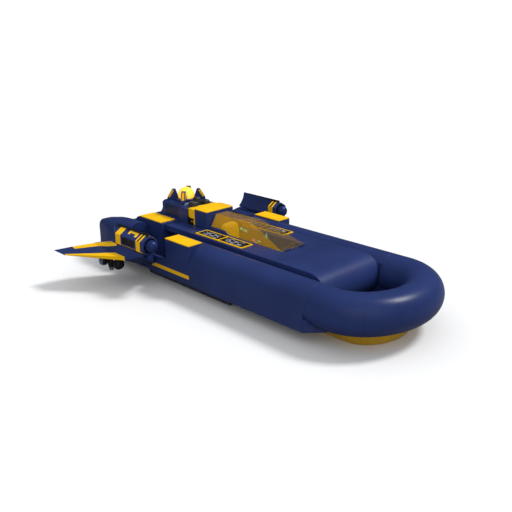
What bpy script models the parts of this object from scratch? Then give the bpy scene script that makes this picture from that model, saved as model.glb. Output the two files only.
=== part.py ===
"""One-seat racing hovercraft: air-cushion hull of two round-topped pontoons joined by a bow
loop, a flat centre fuselage with a tinted canopy, a reactor tower, swept wings and two
octagonal thruster pods with turning fans. Metres, +X to the bow, +Y to port, +Z up, with
the origin on the floor below the middle of the hull."""

import math

import bmesh
import bpy
from mathutils import Matrix, Vector

# Driving dimensions, all in metres. Heights are measured from the hull's own datum, and the
# root empty lifts everything so that the skids' undersides stand on the floor.
GAP = 0.0003                # running gap between pieces that touch
FLOOR = -0.05               # height of the skids' undersides
LID_GAP = 0.005             # clearance round the hinged canopy
HULL_BOTTOM = 0.20          # flat underside of pontoons and fuselage
DECK_Z = 1.0215             # top of the centre fuselage
SIDE_Y = 1.51               # outer wall of the pontoons
TUBE_Y = 1.125              # centreline of the pontoon's round top and of the bow loop
TUBE_Z = 0.632
TUBE_R = 0.385
INNER_Y = 0.83              # inner wall of the pontoons
FUSELAGE_Y = INNER_Y - GAP  # half width of the centre fuselage
PONTOON_FRONT = 2.627
BOW_X = 2.943               # where the loop's bend starts
BOW_RUN = 0.8855            # how far the loop's centreline bulges forward of that
BOW_STEPS = 18
FOOT_X = 2.92                # the pontoon's foot tapers in below the loop to here
FOOT_Y = 1.21
FOOT_TOP = 0.45
BOX_REAR = -1.244           # shoulder boxes, port and starboard
BOX_FRONT = -0.46
BOX_INNER_Y = 1.141
BOX_TOP = 1.034
BOX_FOOT = 0.60
PAD_T = 0.022               # thickness of the yellow pads
NOSE_X = 2.18               # axis of the fuselage's half-round nose
BAY_REAR = -2.126           # open side bay between shoulder box and tail block
BAY_INNER_Y = 0.70
BAY_ROOF = 0.892
BLOCK_Y = 0.917             # half width of the tail block
BLOCK_TOP = 1.053
BLOCK_REAR = -3.172         # tail block's rear face, and how far its top edge is rounded
BLOCK_ROUND = 0.172
SILL_TOP = 0.577            # side sill that closes the bay's foot
SILL_WALL = 0.07
SILL_FLOOR = 0.07
STERN_FRONT = -2.665        # front of the stern tubes
STERN_DECK_REAR = -4.2135
STERN_DECK_TOP = 0.62

COCKPIT_REAR = -1.06
COCKPIT_FRONT = 1.03
COCKPIT_Y = 0.33
COCKPIT_FLOOR = 0.42
SEAT_REAR = -0.75           # where the cushion meets the seat's back
SEAT_Y = 0.26               # half width of the seat
CANOPY_REAR = -1.125
CANOPY_FRONT = 1.059
CANOPY_Y = 0.35
CANOPY_SHOULDER_Y = 0.17
CANOPY_SHOULDER_Z = 1.347
CANOPY_BROW_X = -0.02        # top edge of the sloping front pane
CANOPY_BROW_Y = 0.147
CANOPY_BROW_Z = 1.379
CANOPY_WALL = 0.014
HINGE_X = 1.078             # pin at the canopy's front edge
HINGE_Z = 1.0415
HINGE_R = 0.012
PIN_R = 0.006
KNUCKLE_Y = (0.12, 0.25)

TOWER_REAR = -2.76
TOWER_FRONT = -2.056
TOWER_Y = 0.41
TOWER_TOP = 1.42
TOWER_BEVEL = 0.05          # the front corners and the top edges are cut off by this much
SPINE_REAR = -2.12          # the tower's lower front part starts and ends here
SPINE_FRONT = -1.83
SPINE_TOP = 1.36
HEADREST_REAR = -1.72
HEADREST_FRONT = -1.185
HEADREST_Y = 0.395
HEADREST_TOP = 1.39
CORE_X = -2.371             # glowing reactor core on the tower
CORE_Z = 1.524
CORE_R = 0.19

POD_Y = 1.944               # axis of each thruster pod
POD_Z = 1.0
POD_REAR = -2.445
POD_WAIST = -2.157          # behind this the casing's outer side falls away
POD_FRONT = -1.16
POD_TOP = 1.1965
POD_HALF = 0.183            # half width of the casing
POD_BORE = 0.16
RAIL_TOP = 1.237
JET_Y = 2.0125              # axis and radius of the pod's jet pipe at its rear
JET_R = 0.10
SCOOP_Y = 1.49              # hollow inner side of pod and outrigger, seen from the cockpit
SCOOP_Z = 1.30
SCOOP_FRONT = -1.41
SCOOP_RUN = 0.45            # half axes of the hollow's curve, across and down
SCOOP_RISE = 0.465
FIN_Y = POD_Y + 0.004        # outer side of the thin fin above the hollow
FIN_TOP = 1.24
BORE_WIDE = -1.36           # the bore is wide from here forward
BAND_T = 0.008
RAIL_REAR = -2.30
RAIL_FRONT = -1.21
RECESS_X = (-1.91, -1.47)   # machinery recess in the casing's outer side
RECESS_Z = (0.92, 1.07)
RECESS_DEPTH = 0.012
FAN_X = -1.11               # centre of the fan's nose dome
DOME_R = 0.13
SHAFT_R = 0.05
BLADE_X = -1.27
BLADE_REACH = 0.148
BEARING_X = (-1.352, -1.32) # bearing ring that holds the fan's shaft, on three struts
BEARING_R = 0.08
STRUT_R = 0.012

WING_ROOT_Y = 2.252         # where the wing panel leaves the outrigger
WING_TIP_Y = 3.09
WING_TOP = 0.724

PANEL_Y = 0.385             # fill panel between tower and headrest block
PANEL_GAP = 0.0004          # between panel and headrest block
PANEL_TOP = 1.38
PANEL_NOTCH_X = -1.745      # its lower rear corner is cut away round the pegs
PANEL_NOTCH_Z = 1.15
PEG_Y = 0.40                # two short pegs a side that point forward
PEG_FRONT = -1.65
PEG_HEIGHTS = (1.056, 1.14)
PEG_R = 0.03

# Rear and front of the pod's two raised bands
POD_BANDS = ((-2.145, -1.965), (-1.40, -1.26))

# Stations of a stern tube: x, height of its top, how square its section has become, and how
# far out its outer wall stands
STERN_PROFILE = (
    (STERN_FRONT, 1.039, 0.0, SIDE_Y),
    (-2.95, 1.039, 0.0, SIDE_Y),
    (-3.15, 1.034, 0.0, SIDE_Y),
    (-3.30, 1.020, 0.0, SIDE_Y),
    (-3.50, 0.990, 0.3, SIDE_Y),
    (-3.70, 0.942, 0.45, 1.466),
    (-3.86, 0.908, 0.5, 1.432),
    (-4.00, 0.875, 0.55, 1.401),
)

# Bearings of the core's claws in degrees, and one claw's outline as reach and height
CLAW_ANGLES = (50, 130, 230, 310)
CLAW_HALF = 0.048           # half the width of a claw
CLAW_PROFILE = ((0.16, 0.0), (0.45, 0.0), (0.44, 0.05), (0.32, 0.25), (0.25, 0.25))

COLOURS = {
    "navy": (0.024, 0.042, 0.15, 1.0),
    "yellow": (1.0, 0.56, 0.0, 1.0),
    "amber_glass": (0.75, 0.48, 0.03, 0.4),
    "black": (0.006, 0.006, 0.008, 1.0),
    "grey": (0.06, 0.07, 0.08, 1.0),
    "steel": (0.5, 0.52, 0.55, 1.0),
    "glow": (1.0, 0.72, 0.1, 1.0),
}


def clear_scene():
    for item in list(bpy.data.objects):
        bpy.data.objects.remove(item, do_unlink=True)


def collection(name, hidden=False):
    made = bpy.data.collections.new(name)
    bpy.context.scene.collection.children.link(made)
    made.hide_render = hidden
    return made


def material(name, roughness=0.45, metallic=0.0):
    made = bpy.data.materials.new(name)
    made.use_nodes = True
    shader = made.node_tree.nodes["Principled BSDF"]
    shader.inputs["Base Color"].default_value = COLOURS[name]
    shader.inputs["Roughness"].default_value = roughness
    shader.inputs["Metallic"].default_value = metallic
    made.diffuse_color = COLOURS[name]
    return made


def empty(name, place, parent=None):
    made = bpy.data.objects.new(name, None)
    CRAFT.objects.link(made)
    made.location = place
    made.parent = parent
    return made


clear_scene()
CRAFT = collection("hovercraft")
CUTTERS = collection("cutters", hidden=True)
ROOT = empty("hull_root", (0, 0, -FLOOR))
NAVY = material("navy", 0.4)
YELLOW = material("yellow", 0.45)
AMBER_GLASS = material("amber_glass", 0.1)
BLACK = material("black", 0.5)
GREY = material("grey", 0.5, 0.3)
STEEL = material("steel", 0.2, 1.0)
GLOW = material("glow", 0.3)


def add_mesh(name, mesh, finish, smooth=None):
    made = bpy.data.objects.new(name, mesh)
    CRAFT.objects.link(made)
    made.parent = ROOT
    mesh.materials.clear()
    mesh.materials.append(finish)
    if smooth is not None:
        mesh.shade_smooth()
        mesh.set_sharp_from_angle(angle=math.radians(smooth))
    return made


def from_bmesh(name, shape, finish, smooth=None):
    bmesh.ops.recalc_face_normals(shape, faces=shape.faces)
    mesh = bpy.data.meshes.new(name)
    shape.to_mesh(mesh)
    shape.free()
    return add_mesh(name, mesh, finish, smooth)


def box(name, x, y, z, finish):
    """A block between the two values of each pair."""
    shape = bmesh.new()
    bmesh.ops.create_cube(shape, size=1.0)
    for vert in shape.verts:
        for axis, (low, high) in enumerate((x, y, z)):
            vert.co[axis] = (low + high) / 2 + vert.co[axis] * (high - low)
    return from_bmesh(name, shape, finish)


def cylinder(name, start, end, radius, finish, end_radius=None, sides=24):
    """A round bar or cone from start to end."""
    start, end = Vector(start), Vector(end)
    run = end - start
    shape = bmesh.new()
    turn = run.to_track_quat("Z", "Y").to_matrix().to_4x4()
    bmesh.ops.create_cone(
        shape,
        cap_ends=True,
        segments=sides,
        radius1=radius,
        radius2=radius if end_radius is None else end_radius,
        depth=run.length,
        matrix=Matrix.Translation((start + end) / 2) @ turn,
    )
    return from_bmesh(name, shape, finish, 40)


def ball(name, centre, radius, finish, segments=24, rings=12):
    shape = bmesh.new()
    bmesh.ops.create_uvsphere(
        shape,
        u_segments=segments,
        v_segments=rings,
        radius=radius,
        matrix=Matrix.Translation(centre),
    )
    return from_bmesh(name, shape, finish, 40)


PLANES = {
    "XY": Matrix.Identity(4),
    "XZ": Matrix(((1, 0, 0, 0), (0, 0, -1, 0), (0, 1, 0, 0), (0, 0, 0, 1))),
    "YZ": Matrix(((0, 0, 1, 0), (1, 0, 0, 0), (0, 1, 0, 0), (0, 0, 0, 1))),
}


def plate(name, outline, plane, low, high, finish, smooth=None):
    """A flat outline in one plane, carried through from low to high across it."""
    curve = bpy.data.curves.new(name, "CURVE")
    curve.dimensions = "2D"
    curve.fill_mode = "BOTH"
    curve.extrude = (high - low) / 2
    line = curve.splines.new("POLY")
    line.points.add(len(outline) - 1)
    for point, (across, up) in zip(line.points, outline):
        point.co = (across, up, 0.0, 1.0)
    line.use_cyclic_u = True
    flat = bpy.data.objects.new(name + "_outline", curve)
    CRAFT.objects.link(flat)
    mesh = meshed(flat)
    # Across the XZ plane the outline's own depth runs towards -Y.
    middle = -(low + high) / 2 if plane == "XZ" else (low + high) / 2
    mesh.transform(PLANES[plane] @ Matrix.Translation((0, 0, middle)))
    mesh.name = name
    return add_mesh(name, mesh, finish, smooth)


def meshed(curve_object):
    """The curve as a welded mesh; the curve itself is removed."""
    bpy.context.view_layer.update()
    graph = bpy.context.evaluated_depsgraph_get()
    mesh = bpy.data.meshes.new_from_object(curve_object.evaluated_get(graph))
    shape = bmesh.new()
    shape.from_mesh(mesh)
    bmesh.ops.remove_doubles(shape, verts=shape.verts, dist=0.00001)
    bmesh.ops.recalc_face_normals(shape, faces=shape.faces)
    shape.to_mesh(mesh)
    shape.free()
    bpy.data.objects.remove(curve_object, do_unlink=True)
    return mesh


def tube(name, route, radius, finish, resolution=2):
    """A round bar along a route of points."""
    curve = bpy.data.curves.new(name, "CURVE")
    curve.dimensions = "3D"
    curve.bevel_depth = radius
    curve.bevel_resolution = resolution
    curve.use_fill_caps = True
    line = curve.splines.new("POLY")
    line.points.add(len(route) - 1)
    for point, place in zip(line.points, route):
        point.co = (*place, 1.0)
    made = bpy.data.objects.new(name + "_route", curve)
    CRAFT.objects.link(made)
    return add_mesh(name, meshed(made), finish, 40)


def loft(name, sections, finish, smooth=None):
    """A skin through closed sections that all have the same number of points, capped flat."""
    shape = bmesh.new()
    rings = [[shape.verts.new(point) for point in section] for section in sections]
    for first, second in zip(rings, rings[1:]):
        for a in range(len(first)):
            b = (a + 1) % len(first)
            shape.faces.new((first[a], first[b], second[b], second[a]))
    shape.faces.new(rings[0])
    shape.faces.new(rings[-1])
    return from_bmesh(name, shape, finish, smooth)


def hull_of(name, points, finish):
    """The convex solid around a few points."""
    shape = bmesh.new()
    for point in points:
        shape.verts.new(point)
    made = bmesh.ops.convex_hull(shape, input=shape.verts)
    loose = [item for item in made["geom_interior"] if isinstance(item, bmesh.types.BMVert)]
    bmesh.ops.delete(shape, geom=loose, context="VERTS")
    return from_bmesh(name, shape, finish)


def as_cutter(item):
    CRAFT.objects.unlink(item)
    CUTTERS.objects.link(item)
    item.hide_render = True
    item.display_type = "WIRE"
    return item


def boolean(body, other, operation):
    as_cutter(other)
    step = body.modifiers.new(other.name, "BOOLEAN")
    step.operation = operation
    step.object = other
    step.solver = "EXACT"
    return body


def cut(body, other):
    return boolean(body, other, "DIFFERENCE")


def join(body, other):
    return boolean(body, other, "UNION")


def settled(item):
    """Applies the object's modifiers, so that it can be mirrored."""
    bpy.context.view_layer.update()
    graph = bpy.context.evaluated_depsgraph_get()
    mesh = bpy.data.meshes.new_from_object(item.evaluated_get(graph))
    item.modifiers.clear()
    item.data = mesh
    return item


def turn_about(item, name, place):
    """Puts the object's origin on its joint's axis, under an empty of its own."""
    axis = empty(name, place, ROOT)
    item.data.transform(Matrix.Translation(-Vector(place)))
    item.parent = axis
    return item


def both_sides(item):
    """Renames a starboard piece and makes its mirror image to port."""
    settled(item)
    mesh = item.data.copy()
    mesh.transform(Matrix.Scale(-1, 4, (0, 1, 0)))
    mesh.flip_normals()
    twin = bpy.data.objects.new(item.name + "_port", mesh)
    CRAFT.objects.link(twin)
    twin.parent = ROOT
    item.name = item.name + "_starboard"
    return item, twin


def arc(centre, radius, start, end, steps):
    """Points on a circle from one angle to another, in degrees."""
    spread = [start + (end - start) * step / steps for step in range(steps + 1)]
    return [
        (
            centre[0] + radius * math.cos(math.radians(angle)),
            centre[1] + radius * math.sin(math.radians(angle)),
        )
        for angle in spread
    ]


def pontoon_section(drop=0.0, outer=SIDE_Y, inner=INNER_Y):
    """The starboard pontoon in the YZ plane: flat foot, upright outer wall, round top."""
    last = math.degrees(math.acos((INNER_Y - TUBE_Y) / TUBE_R))
    top = arc((TUBE_Y, TUBE_Z), TUBE_R, 0, last, 20)
    height = (TUBE_Z + TUBE_R - drop - HULL_BOTTOM) / (TUBE_Z + TUBE_R - HULL_BOTTOM)
    width = (outer - inner) / (SIDE_Y - INNER_Y)
    points = [(SIDE_Y, HULL_BOTTOM)] + top + [(INNER_Y, HULL_BOTTOM)]
    return [
        (-(inner + (y - INNER_Y) * width), HULL_BOTTOM + (z - HULL_BOTTOM) * height)
        for y, z in points
    ]


def make_pontoons():
    body = plate("pontoon", pontoon_section(), "YZ", BOX_REAR, PONTOON_FRONT, NAVY, 25)
    notch = box(
        "pontoon_notch",
        (BOX_REAR - 0.1, BOX_FRONT),
        (-SIDE_Y - 0.1, -BOX_INNER_Y + GAP),
        (BOX_FOOT, 1.3),
        NAVY,
    )
    cut(body, notch)
    both_sides(join(body, make_pontoon_foot()))


def make_pontoon_foot():
    """The wedge that carries the pontoon's flat foot forward below the bow loop."""
    rear = PONTOON_FRONT - 0.02
    outline = [
        (rear, -SIDE_Y),
        (PONTOON_FRONT, -SIDE_Y),
        (FOOT_X, -FOOT_Y),
        (FOOT_X, -INNER_Y),
        (rear, -INNER_Y),
    ]
    foot = plate("pontoon_foot", outline, "XY", HULL_BOTTOM, FOOT_TOP, NAVY)
    ends = [(x, -TUBE_Y, TUBE_Z) for x in (PONTOON_FRONT, FOOT_X + 0.2)]
    sides = 48
    radius = (TUBE_R + GAP) / math.cos(math.pi / sides)
    cut(foot, cylinder("loop_room", *ends, radius, NAVY, sides=sides))
    return settled(foot)


def make_shoulder_boxes():
    y = (-SIDE_Y, -BOX_INNER_Y)
    body = box("shoulder_box", (BOX_REAR, BOX_FRONT - GAP), y, (BOX_FOOT + GAP, BOX_TOP), NAVY)
    both_sides(body)
    pad_z = (BOX_TOP + GAP, BOX_TOP + PAD_T)
    both_sides(box("shoulder_pad", (BOX_REAR, BOX_FRONT - GAP), y, pad_z, YELLOW))


def make_bow_loop():
    route = [(PONTOON_FRONT + GAP, -TUBE_Y, TUBE_Z)]
    for step in range(BOW_STEPS + 1):
        angle = math.radians(-90 + 180 * step / BOW_STEPS)
        route.append(
            (BOW_X + BOW_RUN * math.cos(angle), TUBE_Y * math.sin(angle), TUBE_Z)
        )
    route.append((PONTOON_FRONT + GAP, TUBE_Y, TUBE_Z))
    return tube("bow_loop", route, TUBE_R, NAVY, 8)


def make_fuselage():
    radius = (DECK_Z - HULL_BOTTOM) / 2
    nose = arc((NOSE_X, HULL_BOTTOM + radius), radius, -90, 90, 30)
    outline = nose + [(BAY_REAR + GAP, DECK_Z), (BAY_REAR + GAP, HULL_BOTTOM)]
    body = plate("fuselage", outline, "XZ", -FUSELAGE_Y, FUSELAGE_Y, NAVY, 25)
    for side in (-1, 1):
        bay = (side * BAY_INNER_Y, side * 1.2)
        cut(
            body,
            box(
                f"bay_cutter_{side + 1}",
                (BAY_REAR - 0.1, BOX_REAR),
                (min(bay), max(bay)),
                (0.1, BAY_ROOF),
                NAVY,
            ),
        )
    well = box(
        "cockpit_cutter",
        (COCKPIT_REAR, COCKPIT_FRONT),
        (-COCKPIT_Y, COCKPIT_Y),
        (COCKPIT_FLOOR, 1.3),
        NAVY,
    )
    return cut(body, well)


def make_tail_block():
    """The block across the stern, with its top rear edge rounded."""
    centre = (BLOCK_REAR + BLOCK_ROUND, BLOCK_TOP - BLOCK_ROUND)
    outline = arc(centre, BLOCK_ROUND, 90, 180, 12)
    outline += [(BLOCK_REAR, HULL_BOTTOM), (BAY_REAR, HULL_BOTTOM), (BAY_REAR, BLOCK_TOP)]
    plate("tail_block", outline, "XZ", -BLOCK_Y, BLOCK_Y, NAVY, 25)
    pad_z = (BLOCK_TOP + GAP, BLOCK_TOP + PAD_T)
    both_sides(box("tail_pad", (-3.00, -2.19), (-0.905, -0.495), pad_z, YELLOW))


def make_side_sills():
    """The low wall and floor that close the open bay's foot, port and starboard."""
    rear, front = STERN_FRONT + GAP, BOX_REAR - GAP
    outline = [
        (-SIDE_Y, HULL_BOTTOM),
        (-SIDE_Y, SILL_TOP),
        (-SIDE_Y + SILL_WALL, SILL_TOP),
        (-SIDE_Y + SILL_WALL, HULL_BOTTOM + SILL_FLOOR),
        (-BLOCK_Y - GAP, HULL_BOTTOM + SILL_FLOOR),
        (-BLOCK_Y - GAP, HULL_BOTTOM),
    ]
    both_sides(plate("side_sill", outline, "YZ", rear, front, NAVY))


def make_stern_tubes():
    """Round-topped tubes aft of the bay that fall away and draw in to a squarer end."""
    sections = []
    for x, top, square, wall in STERN_PROFILE:
        drop = TUBE_Z + TUBE_R - top
        section = pontoon_section(drop, wall, BLOCK_Y + GAP)
        squared = []
        for number, (y, z) in enumerate(section):
            share = square if 0 < number < len(section) - 1 else 0.0
            corner_y = -wall if y < -TUBE_Y else y
            squared.append((x, y + (corner_y - y) * share, z + (top - z) * share))
        sections.append(squared)
    both_sides(loft("stern_tube", sections, NAVY, 25))


def make_stern_deck():
    """The low deck and transom between the stern tubes."""
    x = (STERN_DECK_REAR, BLOCK_REAR - GAP)
    low = -BLOCK_Y + GAP * 2
    return box("stern_deck", x, (low, -low), (HULL_BOTTOM, STERN_DECK_TOP), NAVY)


def make_canopy():
    base_z = DECK_Z + LID_GAP
    half = CANOPY_Y
    wall = CANOPY_WALL
    outer, inner = [], []
    for side in (-1, 1):
        outer += [
            (CANOPY_REAR, side * half, base_z),
            (CANOPY_REAR, side * CANOPY_SHOULDER_Y, CANOPY_SHOULDER_Z),
            (CANOPY_BROW_X, side * CANOPY_BROW_Y, CANOPY_BROW_Z),
            (CANOPY_FRONT, side * half, base_z),
        ]
        inner += [
            (CANOPY_REAR + wall, side * (half - 1.2 * wall), base_z - 0.001),
            (CANOPY_REAR + wall, side * (CANOPY_SHOULDER_Y - wall / 2), CANOPY_SHOULDER_Z - wall),
            (CANOPY_BROW_X - wall / 4, side * (CANOPY_BROW_Y - wall / 2), CANOPY_BROW_Z - wall),
            (CANOPY_FRONT - 3.5 * wall, side * (half - 1.4 * wall), base_z - 0.001),
        ]
    glass = hull_of("canopy", outer, AMBER_GLASS)
    cut(glass, hull_of("canopy_cutter", inner, NAVY))
    for side in (-1, 1):
        span = sorted((side * KNUCKLE_Y[0], side * KNUCKLE_Y[1]))
        strap_z = (HINGE_Z - 0.0125, HINGE_Z - 0.001)
        join(glass, box(f"hinge_strap_{side}", (HINGE_X - 0.09, HINGE_X), span, strap_z, GREY))
        ends = [(HINGE_X, y, HINGE_Z) for y in span]
        join(glass, cylinder(f"hinge_knuckle_{side}", *ends, HINGE_R, GREY, sides=16))
    through = [(HINGE_X, y, HINGE_Z) for y in (-0.4, 0.4)]
    cut(glass, cylinder("hinge_bore", *through, PIN_R + GAP, GREY, sides=16))
    turn_about(glass, "canopy_hinge_axis", (HINGE_X, 0, HINGE_Z))


def make_canopy_hinge():
    """Deck lugs and the pin that the canopy tips forward on."""
    ends = [(HINGE_X, y, HINGE_Z) for y in (-0.30, 0.30)]
    hinge = cylinder("canopy_hinge", *ends, PIN_R, GREY, sides=16)
    for number, y in enumerate((-0.285, 0.0, 0.285)):
        lug_x = (HINGE_X - HINGE_R, HINGE_X + HINGE_R)
        lug_z = (DECK_Z + GAP, HINGE_Z + HINGE_R)
        join(hinge, box(f"hinge_lug_{number}", lug_x, (y - 0.014, y + 0.014), lug_z, GREY))


def make_coamings():
    """Raised side strips that guard the rear half of the canopy."""
    foot, top = DECK_Z + GAP, 1.105
    outline = [(CANOPY_REAR, foot), (-0.50, foot), (-0.61, top), (CANOPY_REAR, top)]
    both_sides(plate("coaming", outline, "XZ", -CANOPY_Y - 0.035, -CANOPY_Y - 0.005, NAVY))


def headrest_outline(back_off=0.0):
    """The headrest block seen from above, moved aft by so much."""
    front, rear, half = HEADREST_FRONT, HEADREST_REAR - back_off, HEADREST_Y
    return [
        (front, -half),
        (front, half),
        (rear + 0.12, half),
        (rear, half - 0.25),
        (rear, -half + 0.25),
        (rear + 0.12, -half),
    ]


def make_headrest_block():
    outline, top = headrest_outline(), HEADREST_TOP
    plate("headrest_block", outline, "XY", DECK_Z + GAP, top, NAVY)
    plate("headrest_cap", outline, "XY", top + GAP, top + PAD_T, YELLOW)


def make_deck_vents():
    """Framed air intakes on the deck, two windows a side."""
    y = (-0.785, -0.445)
    x = (-1.115, 0.33)
    frame = box("deck_vent", x, y, (DECK_Z + GAP, DECK_Z + 0.018), YELLOW)
    middle = -0.41
    for number, span in enumerate(((x[0] + 0.05, middle - 0.03), (middle + 0.03, x[1] - 0.05))):
        window = box(
            f"vent_cutter_{number}", span, (y[0] + 0.05, y[1] - 0.05), (DECK_Z + 0.006, 1.2), BLACK
        )
        cut(frame, window)
    both_sides(frame)


def make_cockpit():
    floor = COCKPIT_FLOOR + GAP
    cushion = [
        (SEAT_REAR, floor),
        (-0.23, floor),
        (-0.23, 0.66),
        (-0.50, 0.68),
        (-0.62, 0.78),
        (SEAT_REAR, 0.79),
    ]
    plate("seat_cushion", cushion, "XZ", -SEAT_Y, SEAT_Y, YELLOW)
    back = [
        (-0.93, floor, SEAT_Y),
        (SEAT_REAR - GAP, floor, SEAT_Y),
        (SEAT_REAR - GAP, 0.70, SEAT_Y),
        (-0.7803, 1.04, SEAT_Y),
        (-0.964, 1.04, SEAT_Y),
        (-0.79, 1.15, SEAT_Y - 0.04),
        (-0.97, 1.15, SEAT_Y - 0.04),
        (-0.85, 1.19, SEAT_Y - 0.06),
    ]
    corners = [(x, side * half, z) for x, z, half in back for side in (-1, 1)]
    hull_of("seat_back", corners, YELLOW)
    console = [(0.49, floor), (0.94, floor), (0.94, 0.96), (0.67, 0.93), (0.49, 0.80)]
    plate("console", console, "XZ", -0.30, 0.30, GREY)
    stick = cylinder("control_stick", (0.12, 0, floor + 0.02), (0.04, 0, 0.76), 0.022, BLACK)
    join(stick, cylinder("stick_grip", (0.055, 0, 0.72), (0.02, 0, 0.86), 0.034, BLACK))
    join(stick, cylinder("stick_foot", (0.12, 0, floor), (0.12, 0, floor + 0.05), 0.08, BLACK))


def make_tower():
    """The reactor's housing: cut-off corners and top edges, a sloping heel and a low front."""
    base, cut_off = BLOCK_TOP + GAP, TOWER_BEVEL
    points = []
    for side in (-1, 1):
        for height, inset in ((base, 0.0), (TOWER_TOP - cut_off, 0.0), (TOWER_TOP, cut_off * 0.8)):
            half, front = TOWER_Y - inset, TOWER_FRONT - inset
            points += [
                (TOWER_REAR + inset, side * half, height),
                (front - cut_off, side * half, height),
                (front, side * (half - cut_off), height),
            ]
    tower = hull_of("tower", points, NAVY)
    heel = [
        (TOWER_REAR - 0.12, base),
        (TOWER_REAR + 0.01, base),
        (TOWER_REAR + 0.01, 1.22),
        (TOWER_REAR, 1.22),
    ]
    join(tower, plate("tower_heel", heel, "XZ", -TOWER_Y, TOWER_Y, NAVY))
    span, z = (SPINE_REAR, SPINE_FRONT - GAP), (DECK_Z + GAP, SPINE_TOP)
    join(tower, box("tower_front", span, (-TOWER_Y, TOWER_Y), z, NAVY))
    cut(tower, core_seat("tower_seat"))


def core_seat(name):
    """The hollow in which the core rests."""
    return ball(name, (CORE_X, 0, CORE_Z), CORE_R + 2 * GAP, NAVY, 32, 16)


def make_reactor():
    """The glowing core in a cradle with four upright claws on the diagonals."""
    foot = Vector((CORE_X, 0, TOWER_TOP + GAP))
    cradle = cylinder("core_cradle", foot, foot + Vector((0, 0, 0.05)), 0.28, NAVY)
    for angle in CLAW_ANGLES:
        across = Vector((math.cos(math.radians(angle)), math.sin(math.radians(angle)), 0))
        side = Vector((-across.y, across.x, 0)) * CLAW_HALF
        points = []
        for reach, height in CLAW_PROFILE:
            spot = foot + across * reach + Vector((0, 0, height))
            points += [spot + side, spot - side]
        join(cradle, hull_of(f"claw_{angle}", points, NAVY))
    cut(cradle, core_seat("cradle_seat"))
    ball("reactor_core", (CORE_X, 0, CORE_Z), CORE_R, GLOW, 32, 16)


def make_peg_panel():
    """Yellow fill panel between tower and headrest block, with two short pegs a side."""
    foot = DECK_Z + GAP
    outline = [
        (PANEL_NOTCH_X, foot),
        (HEADREST_FRONT - 0.1, foot),
        (HEADREST_FRONT - 0.1, PANEL_TOP),
        (SPINE_FRONT, PANEL_TOP),
        (SPINE_FRONT, PANEL_NOTCH_Z + 0.04),
        (PANEL_NOTCH_X, PANEL_NOTCH_Z),
    ]
    panel = plate("peg_panel", outline, "XZ", -PANEL_Y, PANEL_Y, YELLOW)
    cut(panel, plate("headrest_room", headrest_outline(PANEL_GAP), "XY", 0.9, 1.6, NAVY))
    for height in PEG_HEIGHTS:
        for side in (-1, 1):
            ends = [(x, side * PEG_Y, height) for x in (SPINE_FRONT, PEG_FRONT)]
            join(panel, cylinder(f"peg_{height}_{side}", *ends, PEG_R, BLACK, sides=12))


def pod_section(grow=0.0, squeeze=1.0, foot=0.0):
    """The pod's casing in the YZ plane to starboard: a ridged top, upright sides, narrow foot."""
    half = [
        (0.03, POD_TOP + grow),
        (POD_HALF + grow, 1.0985 + grow / 2),
        (POD_HALF + grow, 0.885 - grow / 2 + foot / 2),
        (0.05, 0.79 - grow + foot),
    ]
    outer = [(-POD_Y - across * squeeze, z) for across, z in half]
    inner = [(-POD_Y + across, z) for across, z in reversed(half)]
    return outer + inner


def along(x, section):
    return [(x, y, z) for y, z in section]


def scoop_cutter(name):
    """Hollows the inner side of pod and outrigger to an upright quarter ellipse."""
    outline = [(-y, z) for y, z in arc((0, 0), 1, -90, 0, 12)]
    outline = [(-SCOOP_Y + y * SCOOP_RUN, SCOOP_Z + z * SCOOP_RISE) for y, z in outline]
    outline += [(-SCOOP_Y - SCOOP_RUN, 1.6), (-1.2, 1.6), (-1.2, SCOOP_Z - SCOOP_RISE)]
    return plate(name, outline, "YZ", POD_REAR - 0.5, SCOOP_FRONT, NAVY)


def make_pod_casings():
    sections = [
        along(POD_REAR, pod_section(squeeze=0.15, foot=0.06)),
        along(POD_WAIST, pod_section()),
        along(POD_FRONT, pod_section()),
    ]
    casing = loft("pod_casing", sections, NAVY)
    for number, band in enumerate(POD_BANDS):
        rings = [along(x, pod_section(BAND_T)) for x in band]
        join(casing, loft(f"pod_band_{number}", rings, YELLOW))
    fin = [(POD_REAR, SCOOP_FRONT), (-FIN_Y, -POD_Y + 0.05), (1.1, FIN_TOP)]
    join(casing, box("pod_fin", *fin, NAVY))
    cut(casing, scoop_cutter("casing_scoop"))
    stations = (
        (POD_REAR - 0.1, JET_Y, JET_R),
        (SCOOP_FRONT, JET_Y, JET_R),
        (BORE_WIDE, POD_Y, POD_BORE),
        (POD_FRONT + 0.1, POD_Y, POD_BORE),
    )
    pipe = [along(x, arc((-y, POD_Z), radius, 0, 345, 23)) for x, y, radius in stations]
    cut(casing, loft("pod_bore", pipe, NAVY))
    recess_y = (-POD_Y - 0.3, -POD_Y - POD_HALF + RECESS_DEPTH)
    cut(casing, box("pod_recess", RECESS_X, recess_y, RECESS_Z, NAVY))
    join(casing, make_fan_bearing())
    both_sides(casing)


def make_fan_bearing():
    """The ring behind the fan and the three struts that hold it in the bore."""
    ends = [(x, -POD_Y, POD_Z) for x in BEARING_X]
    bearing = cylinder("fan_bearing", *ends, BEARING_R, NAVY)
    centre = Vector((sum(BEARING_X) / 2, -POD_Y, POD_Z))
    for number in range(3):
        angle = math.radians(90 + 120 * number)
        spread = Vector((0, math.cos(angle), math.sin(angle)))
        inner, outer = centre + spread * (BEARING_R - 0.01), centre + spread * (POD_BORE + 0.01)
        join(bearing, cylinder(f"fan_strut_{number}", inner, outer, STRUT_R, NAVY, sides=12))
    hole = [(x, -POD_Y, POD_Z) for x in (BEARING_X[0] - 0.1, BEARING_X[1] + 0.1)]
    cut(bearing, cylinder("fan_journal", *hole, SHAFT_R + 3 * GAP, NAVY))
    return settled(bearing)


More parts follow.
